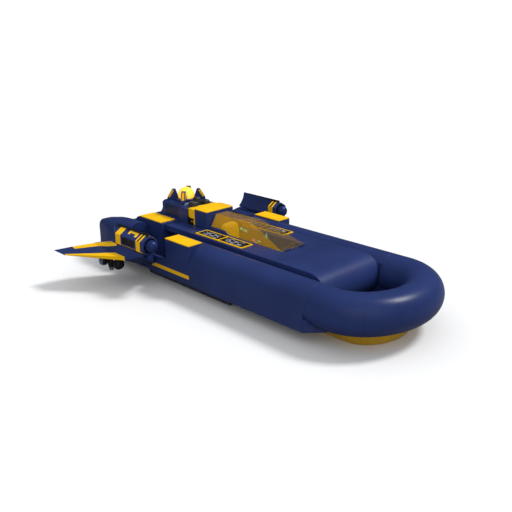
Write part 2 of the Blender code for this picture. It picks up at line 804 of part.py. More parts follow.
def make_pod_rails():
    """Black rail on the pod's ridge; over the hollow it keeps only its outer half."""
    inner, middle, outer = -POD_Y + 0.027, -FIN_Y - GAP, -POD_Y - 0.027
    outline = [
        (RAIL_REAR, outer),
        (RAIL_FRONT, outer),
        (RAIL_FRONT, inner),
        (SCOOP_FRONT + 0.003, inner),
        (SCOOP_FRONT + 0.003, middle),
        (RAIL_REAR, middle),
    ]
    both_sides(plate("pod_rail", outline, "XY", POD_TOP + BAND_T + GAP, RAIL_TOP, BLACK))


def make_fan(side, label):
    """Nose dome, shaft and six blades that turn as one."""
    axis = Vector((0, side * POD_Y, POD_Z))
    dome = axis + Vector((FAN_X, 0, 0))
    root = axis + Vector((BLADE_X, 0, 0))
    aft = axis + Vector((BEARING_X[0] - 0.03, 0, 0))
    hub = ball(f"pod_fan_{label}", dome, DOME_R, NAVY)
    collar = root - Vector((0.03, 0, 0))
    join(hub, cylinder(f"fan_collar_{label}", collar, dome, 0.09, GREY, DOME_R))
    join(hub, cylinder(f"fan_shaft_{label}", aft, root, SHAFT_R, GREY))
    for number in range(6):
        angle = math.radians(60 * number)
        across = Vector((0, math.cos(angle), math.sin(angle)))
        chord = Vector((0.035, 0, 0)) + across.cross(Vector((1, 0, 0))) * 0.025
        thick = chord.cross(across).normalized() * 0.006
        points = []
        for reach in (0.06, BLADE_REACH):
            spot = root + across * reach
            points += [spot + chord * a + thick * b for a in (-1, 1) for b in (-1, 1)]
        join(hub, hull_of(f"blade_{label}_{number}", points, GREY))
    turn_about(hub, f"fan_axis_{label}", dome)


def make_outriggers():
    """The fairings that carry pod and wing from the hull side."""
    hull_y = -SIDE_Y - GAP
    points = [
        (-1.657, -WING_ROOT_Y, WING_TOP),
        (-1.657, -WING_ROOT_Y, 0.633),
        (-2.908, -WING_ROOT_Y, WING_TOP),
        (-2.908, -WING_ROOT_Y, 0.70),
        (-1.17, -2.13, 0.85),
        (-1.17, -2.12, 0.80),
        (-2.157, -2.13, 0.87),
        (-1.60, -1.62, 0.84),
        (-1.95, hull_y, 0.82),
        (-2.45, hull_y, 0.84),
        (-2.45, -1.85, 0.86),
        (-1.647, hull_y, 0.388),
        (-2.03, hull_y, 0.247),
        (-2.46, hull_y, 0.247),
    ]
    body = hull_of("outrigger", points, NAVY)
    section = pod_section(BAND_T + GAP)
    room = [along(x, section) for x in (POD_REAR - 0.5, POD_FRONT + 0.2)]
    cut(body, loft("pod_room", room, NAVY))
    cut(body, scoop_cutter("outrigger_scoop"))
    both_sides(body)


def wing_solid(name, drop=0.0):
    root, tip = -WING_ROOT_Y - GAP, -WING_TIP_Y
    points = [
        (-1.657, root, WING_TOP),
        (-1.657, root, 0.633),
        (-2.908, root, WING_TOP),
        (-2.908, root, 0.70),
        (-3.017, -2.696, WING_TOP),
        (-3.017, -2.696, 0.708),
        (-2.651, tip + 0.01, WING_TOP),
        (-2.651, tip + 0.01, 0.706),
        (-3.072, tip, WING_TOP),
        (-3.072, tip, 0.712),
    ]
    return hull_of(name, [(x, y, z - drop) for x, y, z in points], NAVY)


def make_wing_probes():
    """Sensor balls and probe cone slung under each wing."""
    eye, lens = Vector((-1.83, -2.30, 0.525)), Vector((-2.17, -2.45, 0.55))
    middle = (eye + lens) / 2
    dark = ball("wing_probe", eye, 0.12, BLACK, 20, 10)
    join(dark, ball("probe_lens", lens, 0.10, STEEL, 20, 10))
    join(dark, cylinder("probe_arm", eye, lens, 0.04, GREY))
    join(dark, cylinder("probe_cone", middle, middle - Vector((0, 0, 0.16)), 0.075, GREY, 0.045))
    join(dark, cylinder("probe_stem", middle, middle + Vector((0, 0, 0.18)), 0.05, GREY))
    cut(dark, wing_solid("probe_seat", drop=GAP))
    both_sides(dark)


def make_bow_dish():
    """Yellow plenum dish under the bow loop."""
    sections = []
    for z, half, run, start in ((FLOOR, 0.83, 0.60, 3.07), (HULL_BOTTOM - GAP, 1.0, 0.72, 3.07)):
        ring = [(2.07, -half), (2.07, half)]
        for step in range(17):
            angle = math.radians(90 - 180 * step / 16)
            ring.append((start + run * math.cos(angle), half * math.sin(angle)))
        sections.append([(x, y, z) for x, y in ring])
    return loft("bow_dish", sections, YELLOW)


def make_belly():
    """Long plenum skid under the rear half of the hull."""
    sections = []
    for z, half, front in ((FLOOR, 1.23, 0.45), (HULL_BOTTOM - GAP, 1.33, 0.59)):
        rear = -2.23
        sections.append([(front, -half, z), (front, half, z), (rear, half, z), (rear, -half, z)])
    return loft("belly_skid", sections, NAVY)


make_pontoons()
make_shoulder_boxes()
make_bow_loop()
make_fuselage()
make_tail_block()
make_side_sills()
make_stern_tubes()
make_stern_deck()
make_canopy()
make_canopy_hinge()
make_coamings()
make_headrest_block()
make_deck_vents()
make_cockpit()
make_tower()
make_reactor()
make_peg_panel()
make_pod_casings()
make_pod_rails()
make_fan(-1, "starboard")
make_fan(1, "port")
make_outriggers()
both_sides(wing_solid("wing"))
make_wing_probes()
make_bow_dish()
make_belly()
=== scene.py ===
import math

import bmesh
import bpy
import numpy as np
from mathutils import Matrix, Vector


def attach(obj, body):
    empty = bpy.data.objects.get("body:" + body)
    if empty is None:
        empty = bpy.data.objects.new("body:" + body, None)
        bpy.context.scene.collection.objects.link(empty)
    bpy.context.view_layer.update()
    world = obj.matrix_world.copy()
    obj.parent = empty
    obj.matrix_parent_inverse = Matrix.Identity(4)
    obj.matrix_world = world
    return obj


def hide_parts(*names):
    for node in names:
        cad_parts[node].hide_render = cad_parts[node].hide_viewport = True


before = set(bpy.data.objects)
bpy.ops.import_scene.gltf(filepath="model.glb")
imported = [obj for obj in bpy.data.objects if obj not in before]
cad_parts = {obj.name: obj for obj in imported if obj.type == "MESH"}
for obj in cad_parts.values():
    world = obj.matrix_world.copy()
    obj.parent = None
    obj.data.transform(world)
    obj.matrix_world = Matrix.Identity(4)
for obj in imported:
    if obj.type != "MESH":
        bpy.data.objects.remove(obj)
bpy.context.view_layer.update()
scene = bpy.context.scene

# The camera stands off the starboard bow, a little above the deck, and looks down at the
# middle of the hull, as the photograph does.
hull_middle = Vector((-0.04, 0.0, 0.634))
yaw, pitch, distance = math.radians(45.4), math.radians(19.35), 14.0
focal_pixels, frame_pixels, sensor = 650.0, 512.0, 36.0
back = Vector(
    (math.sin(yaw) * math.cos(pitch), -math.cos(yaw) * math.cos(pitch), math.sin(pitch))
)
lens = bpy.data.cameras.new("deck_camera")
lens.sensor_width, lens.lens = sensor, focal_pixels / frame_pixels * sensor
camera = bpy.data.objects.new("deck_camera", lens)
scene.collection.objects.link(camera)
camera.location = hull_middle + back * distance
camera.rotation_euler = (-back).to_track_quat("-Z", "Y").to_euler()
scene.camera = camera


# Pontoons: the two long round-topped floats, rolled aluminium sheet under satin navy paint.
# The sheets are butt-welded every half metre or so, and the paint is scuffed along edges and
# dusty near the ground. The yellow strip and the short seams below it are painted on.
NAVY = (0.0200, 0.0375, 0.145, 1.0)
YELLOW = (1.0, 0.56, 0.0, 1.0)
BLACK = (0.008, 0.008, 0.010, 1.0)
DUST_GREY = (0.10, 0.095, 0.10, 1.0)
SCUFFED = (0.10, 0.13, 0.22, 1.0)
SEAM_SHADE = (0.006, 0.010, 0.030, 1.0)


def add(tree, kind, sockets=None, **settings):
    """A shader node with its settings, its sockets set to values or joined to sockets."""
    made = tree.nodes.new("ShaderNode" + kind)
    for key, value in settings.items():
        setattr(made, key, value)
    for key, value in (sockets or {}).items():
        if isinstance(value, bpy.types.NodeSocket):
            tree.links.new(value, made.inputs[key])
        else:
            made.inputs[key].default_value = value
    return made


def maths(tree, operation, *values):
    """The output of a Math node on up to three numbers or sockets."""
    return add(tree, "Math", dict(enumerate(values)), operation=operation).outputs[0]


def vector_maths(tree, operation, first, second):
    """The output of a Vector Math node: a number for a product or a distance."""
    made = add(tree, "VectorMath", {0: first, 1: second}, operation=operation)
    return made.outputs["Value" if operation in ("DOT_PRODUCT", "DISTANCE") else "Vector"]


def remapped(tree, value, span, onto=(0.0, 1.0)):
    """A value stretched from one span onto another and held inside it."""
    low, high = span
    sockets = {"Value": value, "From Min": low, "From Max": high, "To Min": onto[0], "To Max": onto[1]}
    return add(tree, "MapRange", sockets).outputs[0]


def noise(tree, place, scale, detail, roughness=0.5):
    """Cloudy noise around 0.5."""
    sockets = {"Vector": place, "Scale": scale, "Detail": detail, "Roughness": roughness}
    return add(tree, "TexNoise", sockets).outputs["Fac"]


def blended(tree, share, first, second):
    """The colour output of a mix of two colours."""
    return add(tree, "Mix", {0: share, 6: first, 7: second}, data_type="RGBA").outputs[2]


def object_place(tree):
    """The place on the craft, in metres, because each piece's origin is the craft's."""
    return add(tree, "TexCoord").outputs["Object"]


def folded_place(tree):
    """The coordinates of the place, and its distance from the middle plane for Y, so that a
    mark lies alike to port and to starboard."""
    place = add(tree, "SeparateXYZ", {0: object_place(tree)}).outputs
    return place["X"], maths(tree, "ABSOLUTE", place["Y"]), place["Z"]


def new_group(name, takes, gives):
    """An empty node group with named inputs (name, kind, value) and outputs (name, kind)."""
    tree = bpy.data.node_groups.new(name, "ShaderNodeTree")
    for label, kind, value in takes:
        socket = tree.interface.new_socket(label, in_out="INPUT", socket_type="NodeSocket" + kind)
        socket.default_value = value
    for label, kind in gives:
        tree.interface.new_socket(label, in_out="OUTPUT", socket_type="NodeSocket" + kind)
    given = tree.nodes.new("NodeGroupInput").outputs
    return tree, given, tree.nodes.new("NodeGroupOutput").inputs


def make_paint_surface():
    """Tone, dust, edge wear and orange peel over any paint colour."""
    takes = [("Paint", "Color", NAVY)]
    takes += [("Dust", "Float", 0.3), ("Wear", "Float", 0.4), ("Gloss", "Float", 0.36)]
    gives = [("Color", "Color"), ("Roughness", "Float"), ("Normal", "Vector")]
    tree, given, out = new_group("paint_surface", takes, gives)
    place = object_place(tree)
    broad = noise(tree, place, 0.9, 3.0)
    speck = noise(tree, place, 26.0, 6.0, 0.7)
    peel = noise(tree, place, 150.0, 2.0)
    value = remapped(tree, broad, (0.3, 0.7), (0.88, 1.12))
    toned = add(tree, "HueSaturation", {"Color": given["Paint"], "Value": value}).outputs[0]
    height = add(tree, "SeparateXYZ", {0: place}).outputs["Z"]
    near_ground = remapped(tree, height, (0.62, 0.02))
    dusty = maths(tree, "MULTIPLY", maths(tree, "MULTIPLY", near_ground, speck), given["Dust"])
    dusted = blended(tree, dusty, toned, DUST_GREY)
    round_normal = add(tree, "Bevel", {"Radius": 0.012}, samples=4).outputs[0]
    flat_normal = add(tree, "NewGeometry").outputs["Normal"]
    edge = remapped(tree, vector_maths(tree, "DOT_PRODUCT", round_normal, flat_normal), (0.99, 0.80))
    chips = remapped(tree, speck, (0.46, 0.62))
    worn = maths(tree, "MULTIPLY", maths(tree, "MULTIPLY", edge, chips), given["Wear"])
    tree.links.new(blended(tree, worn, dusted, SCUFFED), out["Color"])
    uneven = remapped(tree, speck, (0.3, 0.7), (-0.05, 0.07))
    rough = maths(tree, "ADD", maths(tree, "ADD", uneven, given["Gloss"]), dusty)
    tree.links.new(rough, out["Roughness"])
    bump = add(tree, "Bump", {"Height": peel, "Strength": 0.06, "Distance": 0.001})
    tree.links.new(bump.outputs[0], out["Normal"])
    return tree


def make_painted_box():
    """A mask that is 1 inside an upright box, the same to port and to starboard."""
    takes = [("Low", "Vector", (0, 0, 0)), ("High", "Vector", (1, 1, 1))]
    tree, given, out = new_group("painted_box", takes, [("Mask", "Float")])
    along, side, height = folded_place(tree)
    point = add(tree, "CombineXYZ", {0: along, 1: side, 2: height}).outputs[0]
    above = vector_maths(tree, "SUBTRACT", point, given["Low"])
    below = vector_maths(tree, "SUBTRACT", given["High"], point)
    inside = add(tree, "SeparateXYZ", {0: vector_maths(tree, "MINIMUM", above, below)}).outputs
    least = maths(tree, "MINIMUM", maths(tree, "MINIMUM", inside[0], inside[1]), inside[2])
    tree.links.new(maths(tree, "GREATER_THAN", least, 0.0), out["Mask"])
    return tree


def make_painted_round():
    """A mask that is 1 within a radius of an axis along X and between two stations on it,
    the same to port and to starboard. The centre is (0, |y|, z)."""
    takes = [("Centre", "Vector", (0, 0, 0))]
    takes += [("Radius", "Float", 1.0), ("Rear", "Float", 0.0), ("Front", "Float", 1.0)]
    tree, given, out = new_group("painted_round", takes, [("Mask", "Float")])
    along, side, height = folded_place(tree)
    point = add(tree, "CombineXYZ", {0: 0.0, 1: side, 2: height}).outputs[0]
    reach = vector_maths(tree, "DISTANCE", point, given["Centre"])
    within = maths(tree, "SUBTRACT", given["Radius"], reach)
    ahead = maths(tree, "SUBTRACT", along, given["Rear"])
    behind = maths(tree, "SUBTRACT", given["Front"], along)
    least = maths(tree, "MINIMUM", maths(tree, "MINIMUM", within, ahead), behind)
    tree.links.new(maths(tree, "GREATER_THAN", least, 0.0), out["Mask"])
    return tree


def make_painted_patch():
    """A mask that is 1 inside four straight edges seen from above, mirrored to port. An edge
    is the vector (a, b, c) of the line a x + b |y| + c = 0, positive on the painted side."""
    edges = [(f"Edge {number}", "Vector", (0, 0, 1)) for number in range(4)]
    tree, given, out = new_group("painted_patch", edges, [("Mask", "Float")])
    along, side, _ = folded_place(tree)
    point = add(tree, "CombineXYZ", {0: along, 1: side, 2: 1.0}).outputs[0]
    least = 1.0
    for label, _, _ in edges:
        apart = vector_maths(tree, "DOT_PRODUCT", point, given[label])
        least = maths(tree, "MINIMUM", apart, least)
    tree.links.new(maths(tree, "GREATER_THAN", least, 0.0), out["Mask"])
    return tree


def make_seam_lines():
    """A mask of thin lines across the hull at an even spacing along it."""
    takes = [("Start", "Float", 0.0), ("Spacing", "Float", 0.5), ("Width", "Float", 0.006)]
    tree, given, out = new_group("seam_lines", takes, [("Mask", "Float")])
    along = folded_place(tree)[0]
    apart = maths(tree, "SUBTRACT", along, given["Start"])
    half = maths(tree, "MULTIPLY", given["Spacing"], 0.5)
    wrapped = maths(tree, "WRAP", apart, half, maths(tree, "MULTIPLY", half, -1.0))
    near = maths(tree, "ABSOLUTE", wrapped)
    wide = maths(tree, "MULTIPLY", given["Width"], 0.5)
    tree.links.new(maths(tree, "LESS_THAN", near, wide), out["Mask"])
    return tree


paint_surface = make_paint_surface()
painted_box = make_painted_box()
painted_patch = make_painted_patch()
painted_round = make_painted_round()
seam_lines = make_seam_lines()


def group(tree, made, sockets):
    """One use of a node group, with its values."""
    used = add(tree, "Group", node_tree=made)
    for key, value in sockets.items():
        used.inputs[key].default_value = value
    return used


def patch_edges(corners):
    """The four inward edges of a convex patch given by its corners (x, y): each is the unit
    normal of its line and the line's distance from the middle, turned to face the centre."""
    centre = np.mean(corners, axis=0)
    edges = []
    for (x0, y0), (x1, y1) in zip(corners, corners[1:] + corners[:1]):
        across = np.array((y1 - y0, x0 - x1)) / math.hypot(x1 - x0, y1 - y0)
        reach = -across @ (x0, y0)
        sign = 1.0 if across @ centre + reach > 0 else -1.0
        edges.append((across[0] * sign, across[1] * sign, reach * sign))
    return {f"Edge {number}": edge for number, edge in enumerate(edges)}


def mark_mask(tree, corners):
    """The mask of one painted mark: two corners make a box, four corners seen from above a
    patch, and a centre with a radius, rear and front a round bore."""
    if len(corners) == 2:
        return group(tree, painted_box, {"Low": corners[0], "High": corners[1]})
    if isinstance(corners[1], float):
        labels = ("Centre", "Radius", "Rear", "Front")
        return group(tree, painted_round, dict(zip(labels, corners)))
    return group(tree, painted_patch, patch_edges(corners))


def new_finish(name):
    """An empty material with its node tree and its Principled shader."""
    made = bpy.data.materials.new(name)
    made.use_nodes = True
    return made, made.node_tree, made.node_tree.nodes["Principled BSDF"]


def paint(name, colour, marks=(), seams=(), dust=0.3, wear=0.4, gloss=0.36, metallic=0.0):
    """A painted finish. A mark is a colour and the corners that mark_mask takes; seams are
    (start, spacing, width)."""
    made, tree, shader = new_finish(name)
    sockets = {"Paint": colour, "Dust": dust, "Wear": wear, "Gloss": gloss}
    surface = group(tree, paint_surface, sockets)
    top = colour
    for shade, *corners in marks:
        top = blended(tree, mark_mask(tree, corners).outputs[0], top, shade)
    for start, spacing, width in seams:
        mask = group(tree, seam_lines, {"Start": start, "Spacing": spacing, "Width": width})
        top = blended(tree, maths(tree, "MULTIPLY", mask.outputs[0], 0.45), top, SEAM_SHADE)
    if top is not colour:
        tree.links.new(top, surface.inputs["Paint"])
    tree.links.new(surface.outputs["Color"], shader.inputs["Base Color"])
    tree.links.new(surface.outputs["Roughness"], shader.inputs["Roughness"])
    tree.links.new(surface.outputs["Normal"], shader.inputs["Normal"])
    shader.inputs["Metallic"].default_value = metallic
    shader.inputs["Specular IOR Level"].default_value = 0.2
    return made


def placed(name, mesh, finish, body, smooth=35):
    """Puts a mesh into the scene as a piece that rides on a body."""
    mesh.materials.clear()
    mesh.materials.append(finish)
    mesh.shade_smooth()
    mesh.set_sharp_from_angle(angle=math.radians(smooth))
    piece = bpy.data.objects.new(name, mesh)
    scene.collection.objects.link(piece)
    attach(piece, body)
    return piece


def skin(node, finish, body="hull", edge=0.007, smooth=35):
    """The CAD node's own shape with its triangles welded, its flat faces made whole and its
    edges rounded, so that they catch the light; it stands for the node."""
    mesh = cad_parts[node].data.copy()
    shape = bmesh.new()
    shape.from_mesh(mesh)
    bmesh.ops.remove_doubles(shape, verts=shape.verts, dist=0.00002)
    bmesh.ops.dissolve_limit(
        shape, angle_limit=math.radians(0.7), verts=shape.verts, edges=shape.edges
    )
    shape.to_mesh(mesh)
    shape.free()
    piece = placed(node + "_skin", mesh, finish, body, smooth)
    if edge:
        rounding = piece.modifiers.new("rounded_edges", "BEVEL")
        rounding.width = edge
        rounding.segments = 2
        rounding.limit_method = "ANGLE"
        rounding.angle_limit = math.radians(30)
    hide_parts(node)
    return piece


side_inner, side_outer = 1.40, 1.60
strip_low, strip_high = 0.375, 0.459
sill_strip = (YELLOW, (-1.748, side_inner, strip_low), (-0.474, side_outer, strip_high))
half_line, line_low = 0.004, 0.26
sill_lines = [
    (BLACK, (x - half_line, side_inner, line_low), (x + half_line, side_outer, strip_low - 0.01))
    for x in (-1.55, -1.25, -0.90, -0.62)
]
sheet_seams = (0.18, 0.612, 0.006)
pontoon_paint = paint("pontoon_paint", NAVY, [sill_strip] + sill_lines, seams=[sheet_seams])
for side in ("port", "starboard"):
    skin(f"pontoon_{side}", pontoon_paint, edge=0.005)


# Bow loop: one round tube bent from pontoon to pontoon, welded from short mitred lengths whose
# seams show as fine lines. Its surface is a circle carried round half an ellipse.
def skinned(name, rows, finish, body="hull", smooth=35, caps=True):
    """A closed skin through rows of points, an array of sections by points by three, with
    each section joined round to its first point and the two ends capped flat."""
    rows = np.asarray(rows, dtype=float)
    sections, points = rows.shape[:2]
    start = np.arange(sections - 1)[:, None] * points
    first = start + np.arange(points)[None, :]
    after = start + np.roll(np.arange(points), -1)[None, :]
    quads = np.stack([first, after, after + points, first + points], axis=-1).reshape(-1, 4)
    faces = quads.tolist()
    if caps:
        faces.append(list(range(points))[::-1])
        faces.append(list(range((sections - 1) * points, sections * points)))
    mesh = bpy.data.meshes.new(name)
    mesh.from_pydata(rows.reshape(-1, 3).tolist(), [], faces)
    shape = bmesh.new()
    shape.from_mesh(mesh)
    bmesh.ops.remove_doubles(shape, verts=shape.verts, dist=0.00001)
    bmesh.ops.recalc_face_normals(shape, faces=shape.faces)
    shape.to_mesh(mesh)
    shape.free()
    return placed(name, mesh, finish, body, smooth)


def bar_rows(path, radius, sides=24):
    """Circles of a radius square to a path of points: the path's own direction, a level
    direction across it and their cross product frame each circle."""
    path = np.asarray(path, dtype=float)
    ahead = np.gradient(path, axis=0)
    ahead /= np.linalg.norm(ahead, axis=1)[:, None]
    up = np.array((0.0, 0.0, 1.0)) if abs(ahead[0, 2]) < 0.9 else np.array((1.0, 0.0, 0.0))
    across = np.cross(ahead, up)
    across /= np.linalg.norm(across, axis=1)[:, None]
    over = np.cross(across, ahead)
    turn = np.linspace(0, 2 * np.pi, sides, endpoint=False)[None, :, None]
    radius = np.broadcast_to(radius, len(path))[:, None, None]
    return path[:, None] + radius * (np.cos(turn) * across[:, None] + np.sin(turn) * over[:, None])


pontoon_front, lead_length = 2.6273, 0.16
bend_x, bend_run = 2.943, 0.8855
tube_y, tube_z, tube_radius = 1.125, 0.682, 0.385
swing = np.radians(np.linspace(-90, 90, 57))
bend = np.stack(
    [bend_x + bend_run * np.cos(swing), tube_y * np.sin(swing), np.full_like(swing, tube_z)], axis=1
)
lead = np.array([(pontoon_front, tube_y, tube_z), (pontoon_front + lead_length, tube_y, tube_z)])
route = np.concatenate([lead * (1, -1, 1), bend, lead[::-1]])
loop_paint = paint("loop_paint", NAVY, gloss=0.30)
loop_tree = loop_paint.node_tree
round_count, seam_half, seam_share = 28.0, 0.012, 0.35
squashed = {
    "Vector": object_place(loop_tree),
    "Location": (-bend_x / bend_run, 0.0, 0.0),
    "Scale": (1 / bend_run, 1 / tube_y, 1.0),
}
loop_place = add(loop_tree, "Mapping", squashed).outputs[0]
loop_turn = add(loop_tree, "TexGradient", {"Vector": loop_place}, gradient_type="RADIAL").outputs["Fac"]
loop_near = maths(loop_tree, "PINGPONG", maths(loop_tree, "MULTIPLY", loop_turn, round_count), 0.5)
loop_line = maths(loop_tree, "LESS_THAN", loop_near, seam_half)
loop_share = maths(loop_tree, "MULTIPLY", loop_line, seam_share)
loop_used = next(n for n in loop_tree.nodes if n.type == "GROUP")
loop_seamed = blended(loop_tree, loop_share, NAVY, (0.008, 0.014, 0.045, 1.0))
loop_tree.links.new(loop_seamed, loop_used.inputs["Paint"])
bow_loop = skinned("bow_loop_tube", bar_rows(route, tube_radius, 64), loop_paint)
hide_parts("bow_loop")

# Bow dish: the yellow air cushion dish under the loop, pressed from one sheet; its top, inside
# the loop, is navy.
dish_top = (NAVY, (1.9, -0.1, 0.236), (4.0, 1.1, 0.26))
skin("bow_dish", paint("dish_paint", YELLOW, [dish_top], dust=0.8), edge=0.01)

# Fuselage: the flat-topped centre body with its half-round nose and open cockpit well, the
# same welded sheet and paint as the pontoons, with three seams across the deck.
deck_seam_half = 0.003
deck_seams = [
    (BLACK, (x - deck_seam_half, 0.0, 0.2), (x + deck_seam_half, 0.9, 1.1))
    for x in (-0.372, 0.384, 1.35)
]
skin("fuselage", paint("fuselage_paint", NAVY, deck_seams), edge=0.006, smooth=25)

# Deck vents: yellow bolted frames round two windows a side. A ribbed black sheet lies in each
# window, and three bent pipes with lumps along them run over it. The black of each window, on
# the frame and on the sheet, is painted shade: the dark inside of the vent.
rim_inner, rim_outer = 0.477, 0.753
rims = ((-1.083, -0.428), (-0.392, 0.298))
# Painted shade: black inside each window, on the frame here and on the sheet below.
vent_window_shade = [(BLACK, (rear, rim_inner, 1.0), (front, rim_outer, 1.12)) for rear, front in rims]
vent_paint = paint("vent_paint", YELLOW, vent_window_shade, dust=0.1)
vent_shade_floor = paint("vent_shade_floor", BLACK, dust=0.1, wear=0.2, gloss=0.6)
vent_pipe = paint("vent_pipe", (0.42, 0.44, 0.50, 1.0), dust=0.0, wear=0.5, gloss=0.4)


def sheet_rows(low, high, depth, ribs, steps):
    """A ribbed sheet between two corners: its height is a cosine along x, whole at the foot
    and rounded at the crest, and it closes underneath so that it is a solid."""
    along = np.linspace(low[0], high[0], steps)
    crest = 0.5 - 0.5 * np.cos(2 * np.pi * ribs * np.linspace(0, 1, steps))
    top = low[2] + depth * 0.25 + depth * 0.75 * crest**0.6
    flat = np.full(steps, low[2])
    corners = [(low[1], flat), (high[1], flat), (high[1], top), (low[1], top)]
    return np.stack(
        [np.stack([along, np.full(steps, y), z], axis=1) for y, z in corners], axis=1
    )


def vent_bar(span, height, sign, centre, swing, waves, window, line):
    """A lumpy pipe along a window, kept clear of its ends by a margin. Its distance from the
    middle is a sine along x, and its radius a cosine cut off flat at both ends of its swing."""
    steps, margin, thin, lump = 73, 0.05, 0.0095, 0.0035
    share = np.linspace(0, 1, steps)
    length = span[1] - span[0] - 2 * margin
    along = span[0] + margin + length * (0.05 * line + 0.88 * share)
    across = sign * (centre + swing * np.sin(2 * np.pi * waves * share + 2 * window + line))
    lumps = np.clip(3 * np.cos(2 * np.pi * 3 * share + 1.3 * line + window), -1, 1)
    path = np.stack([along, across, np.full(steps, height)], axis=1)
    return bar_rows(path, thin + lump * lumps, 12)


pits = ((-1.062, -0.443), (-0.377, 0.277))
pit_inner, pit_outer, pit_floor = 0.4985, 0.7315, 1.0782
rib_height, rib_count, rib_steps = 0.004, 13, 157
pipe_z, pipe_top = 1.0845, 1.0892
pipe_bends = ((0.545, 0.024, 1.5), (0.625, 0.034, 2.0), (0.69, 0.022, 1.0))
for sign, side in ((1, "port"), (-1, "starboard")):
    skin(f"deck_vent_{side}", vent_paint, edge=0.003)
    y = sorted((sign * pit_inner, sign * pit_outer))
    for window, span in enumerate(pits):
        corners = ((span[0], y[0], pit_floor), (span[1], y[1], pit_floor))
        rows = sheet_rows(*corners, rib_height, rib_count, rib_steps)
        skinned(f"vent_shade_floor_{side}_{window}", rows, vent_shade_floor, smooth=60)
        for line, (centre, swing, waves) in enumerate(pipe_bends):
            rows = vent_bar(span, pipe_z, sign, centre, swing, waves, window, line)
            rows[:, :, 2] = np.minimum(rows[:, :, 2], pipe_top)
            skinned(f"vent_pipe_{side}_{window}_{line}", rows, vent_pipe)

# Shoulder boxes: welded boxes beside the seat, with yellow step pads bonded on top.
block_paint = paint("block_paint", NAVY)
pad_paint = paint("pad_paint", YELLOW, dust=0.1, wear=0.4)
for side in ("port", "starboard"):
    skin(f"shoulder_box_{side}", pontoon_paint)
    skin(f"shoulder_pad_{side}", pad_paint, edge=0.005)

# Tail: the block across the stern with its two pads, the low sills along the open bays, the
# stern tubes that taper away aft, the deck between them and the skid under the hull.
skid_shade = (0.020, 0.028, 0.070, 1.0)
skin("tail_block", block_paint, smooth=25)
for side in ("port", "starboard"):
    skin(f"tail_pad_{side}", pad_paint, edge=0.005)
    skin(f"side_sill_{side}", pontoon_paint)
    skin(f"stern_tube_{side}", block_paint, smooth=25)
skin("stern_deck", block_paint)
skin("belly_skid", paint("skid_paint", skid_shade, dust=0.9, gloss=0.5))

# Cockpit: a padded seat in yellow vinyl, a dark console with small lit displays, a rubber
# stick and small lit displays along the well's port wall.
MACHINE_GREY = (0.05, 0.055, 0.065, 1.0)
console_paint = paint("console_paint", MACHINE_GREY, dust=0.1, gloss=0.5)
skin("console", console_paint)
stick_finish = paint("stick_rubber", BLACK, dust=0.2, wear=0.0, gloss=0.65)
skin("control_stick", stick_finish, edge=0.003)


def make_vinyl():
    """Yellow seat vinyl: a fine leather grain in bump, and a tone and gloss that drift."""
    made, tree, shader = new_finish("seat_vinyl")
    place = object_place(tree)
    voronoi = {"Vector": place, "Scale": 320.0}
    grain = add(tree, "TexVoronoi", voronoi, feature="SMOOTH_F1").outputs["Distance"]
    cloudy = noise(tree, place, 6.0, 4.0)
    tone = blended(tree, cloudy, (1.0, 0.64, 0.0, 1.0), (0.98, 0.56, 0.0, 1.0))
    tree.links.new(tone, shader.inputs["Base Color"])
    rough = remapped(tree, cloudy, (0.0, 1.0), (0.38, 0.58))
    tree.links.new(rough, shader.inputs["Roughness"])
    bump = add(tree, "Bump", {"Height": grain, "Strength": 0.25, "Distance": 0.001}).outputs[0]
    tree.links.new(bump, shader.inputs["Normal"])
    shader.inputs["Sheen Weight"].default_value = 0.1
    return made


def pad_rows(low, high, swell):
    """A box whose sides are rounded by a superellipse (each direction's sine and cosine raised
    to the power 0.35), smaller all round by the room that its stuffing swells into."""
    half, centre = (high - low) / 2 - swell, (high + low) / 2
    turn = np.linspace(-np.pi, np.pi, 64, endpoint=False)
    rise = np.linspace(-np.pi / 2, np.pi / 2, 33)

    def rounded(angle, wave):
        return np.sign(wave(angle)) * np.abs(wave(angle)) ** 0.35

    ring = np.stack([rounded(turn, np.cos), rounded(turn, np.sin)], axis=1)
    rows = np.empty((len(rise), len(turn), 3))
    rows[:, :, :2] = rounded(rise, np.cos)[:, None, None] * ring[None]
    rows[:, :, 2] = rounded(rise, np.sin)[:, None]
    return centre + rows * half


def blow_up(piece, net_size, swell):
    """Turns a pad into an even net, blows it up as cloth under pressure for 20 frames, and
    keeps each point's move up to the swell."""
    remesh = piece.modifiers.new("even_net", "REMESH")
    remesh.mode, remesh.voxel_size = "VOXEL", net_size
    bpy.context.view_layer.update()
    graph = bpy.context.evaluated_depsgraph_get()
    net = bpy.data.meshes.new_from_object(piece.evaluated_get(graph))
    piece.modifiers.clear()
    piece.data = net
    start = np.empty(len(net.vertices) * 3)
    net.vertices.foreach_get("co", start)
    cloth = piece.modifiers.new("stuffing", "CLOTH")
    cloth.settings.use_pressure = True
    cloth.settings.uniform_pressure_force = 4.0
    cloth.settings.effector_weights.gravity = 0.0
    for step in range(1, 21):
        scene.frame_set(step)
    graph = bpy.context.evaluated_depsgraph_get()
    blown = piece.evaluated_get(graph).to_mesh()
    swollen = np.empty_like(start)
    blown.vertices.foreach_get("co", swollen)
    piece.evaluated_get(graph).to_mesh_clear()
    piece.modifiers.clear()
    scene.frame_set(1)
    move = (swollen - start).reshape(-1, 3)
    size = np.linalg.norm(move, axis=1)[:, None]
    move *= np.minimum(1.0, swell / np.maximum(size, 1e-9))
    net.vertices.foreach_set("co", start + move.ravel())


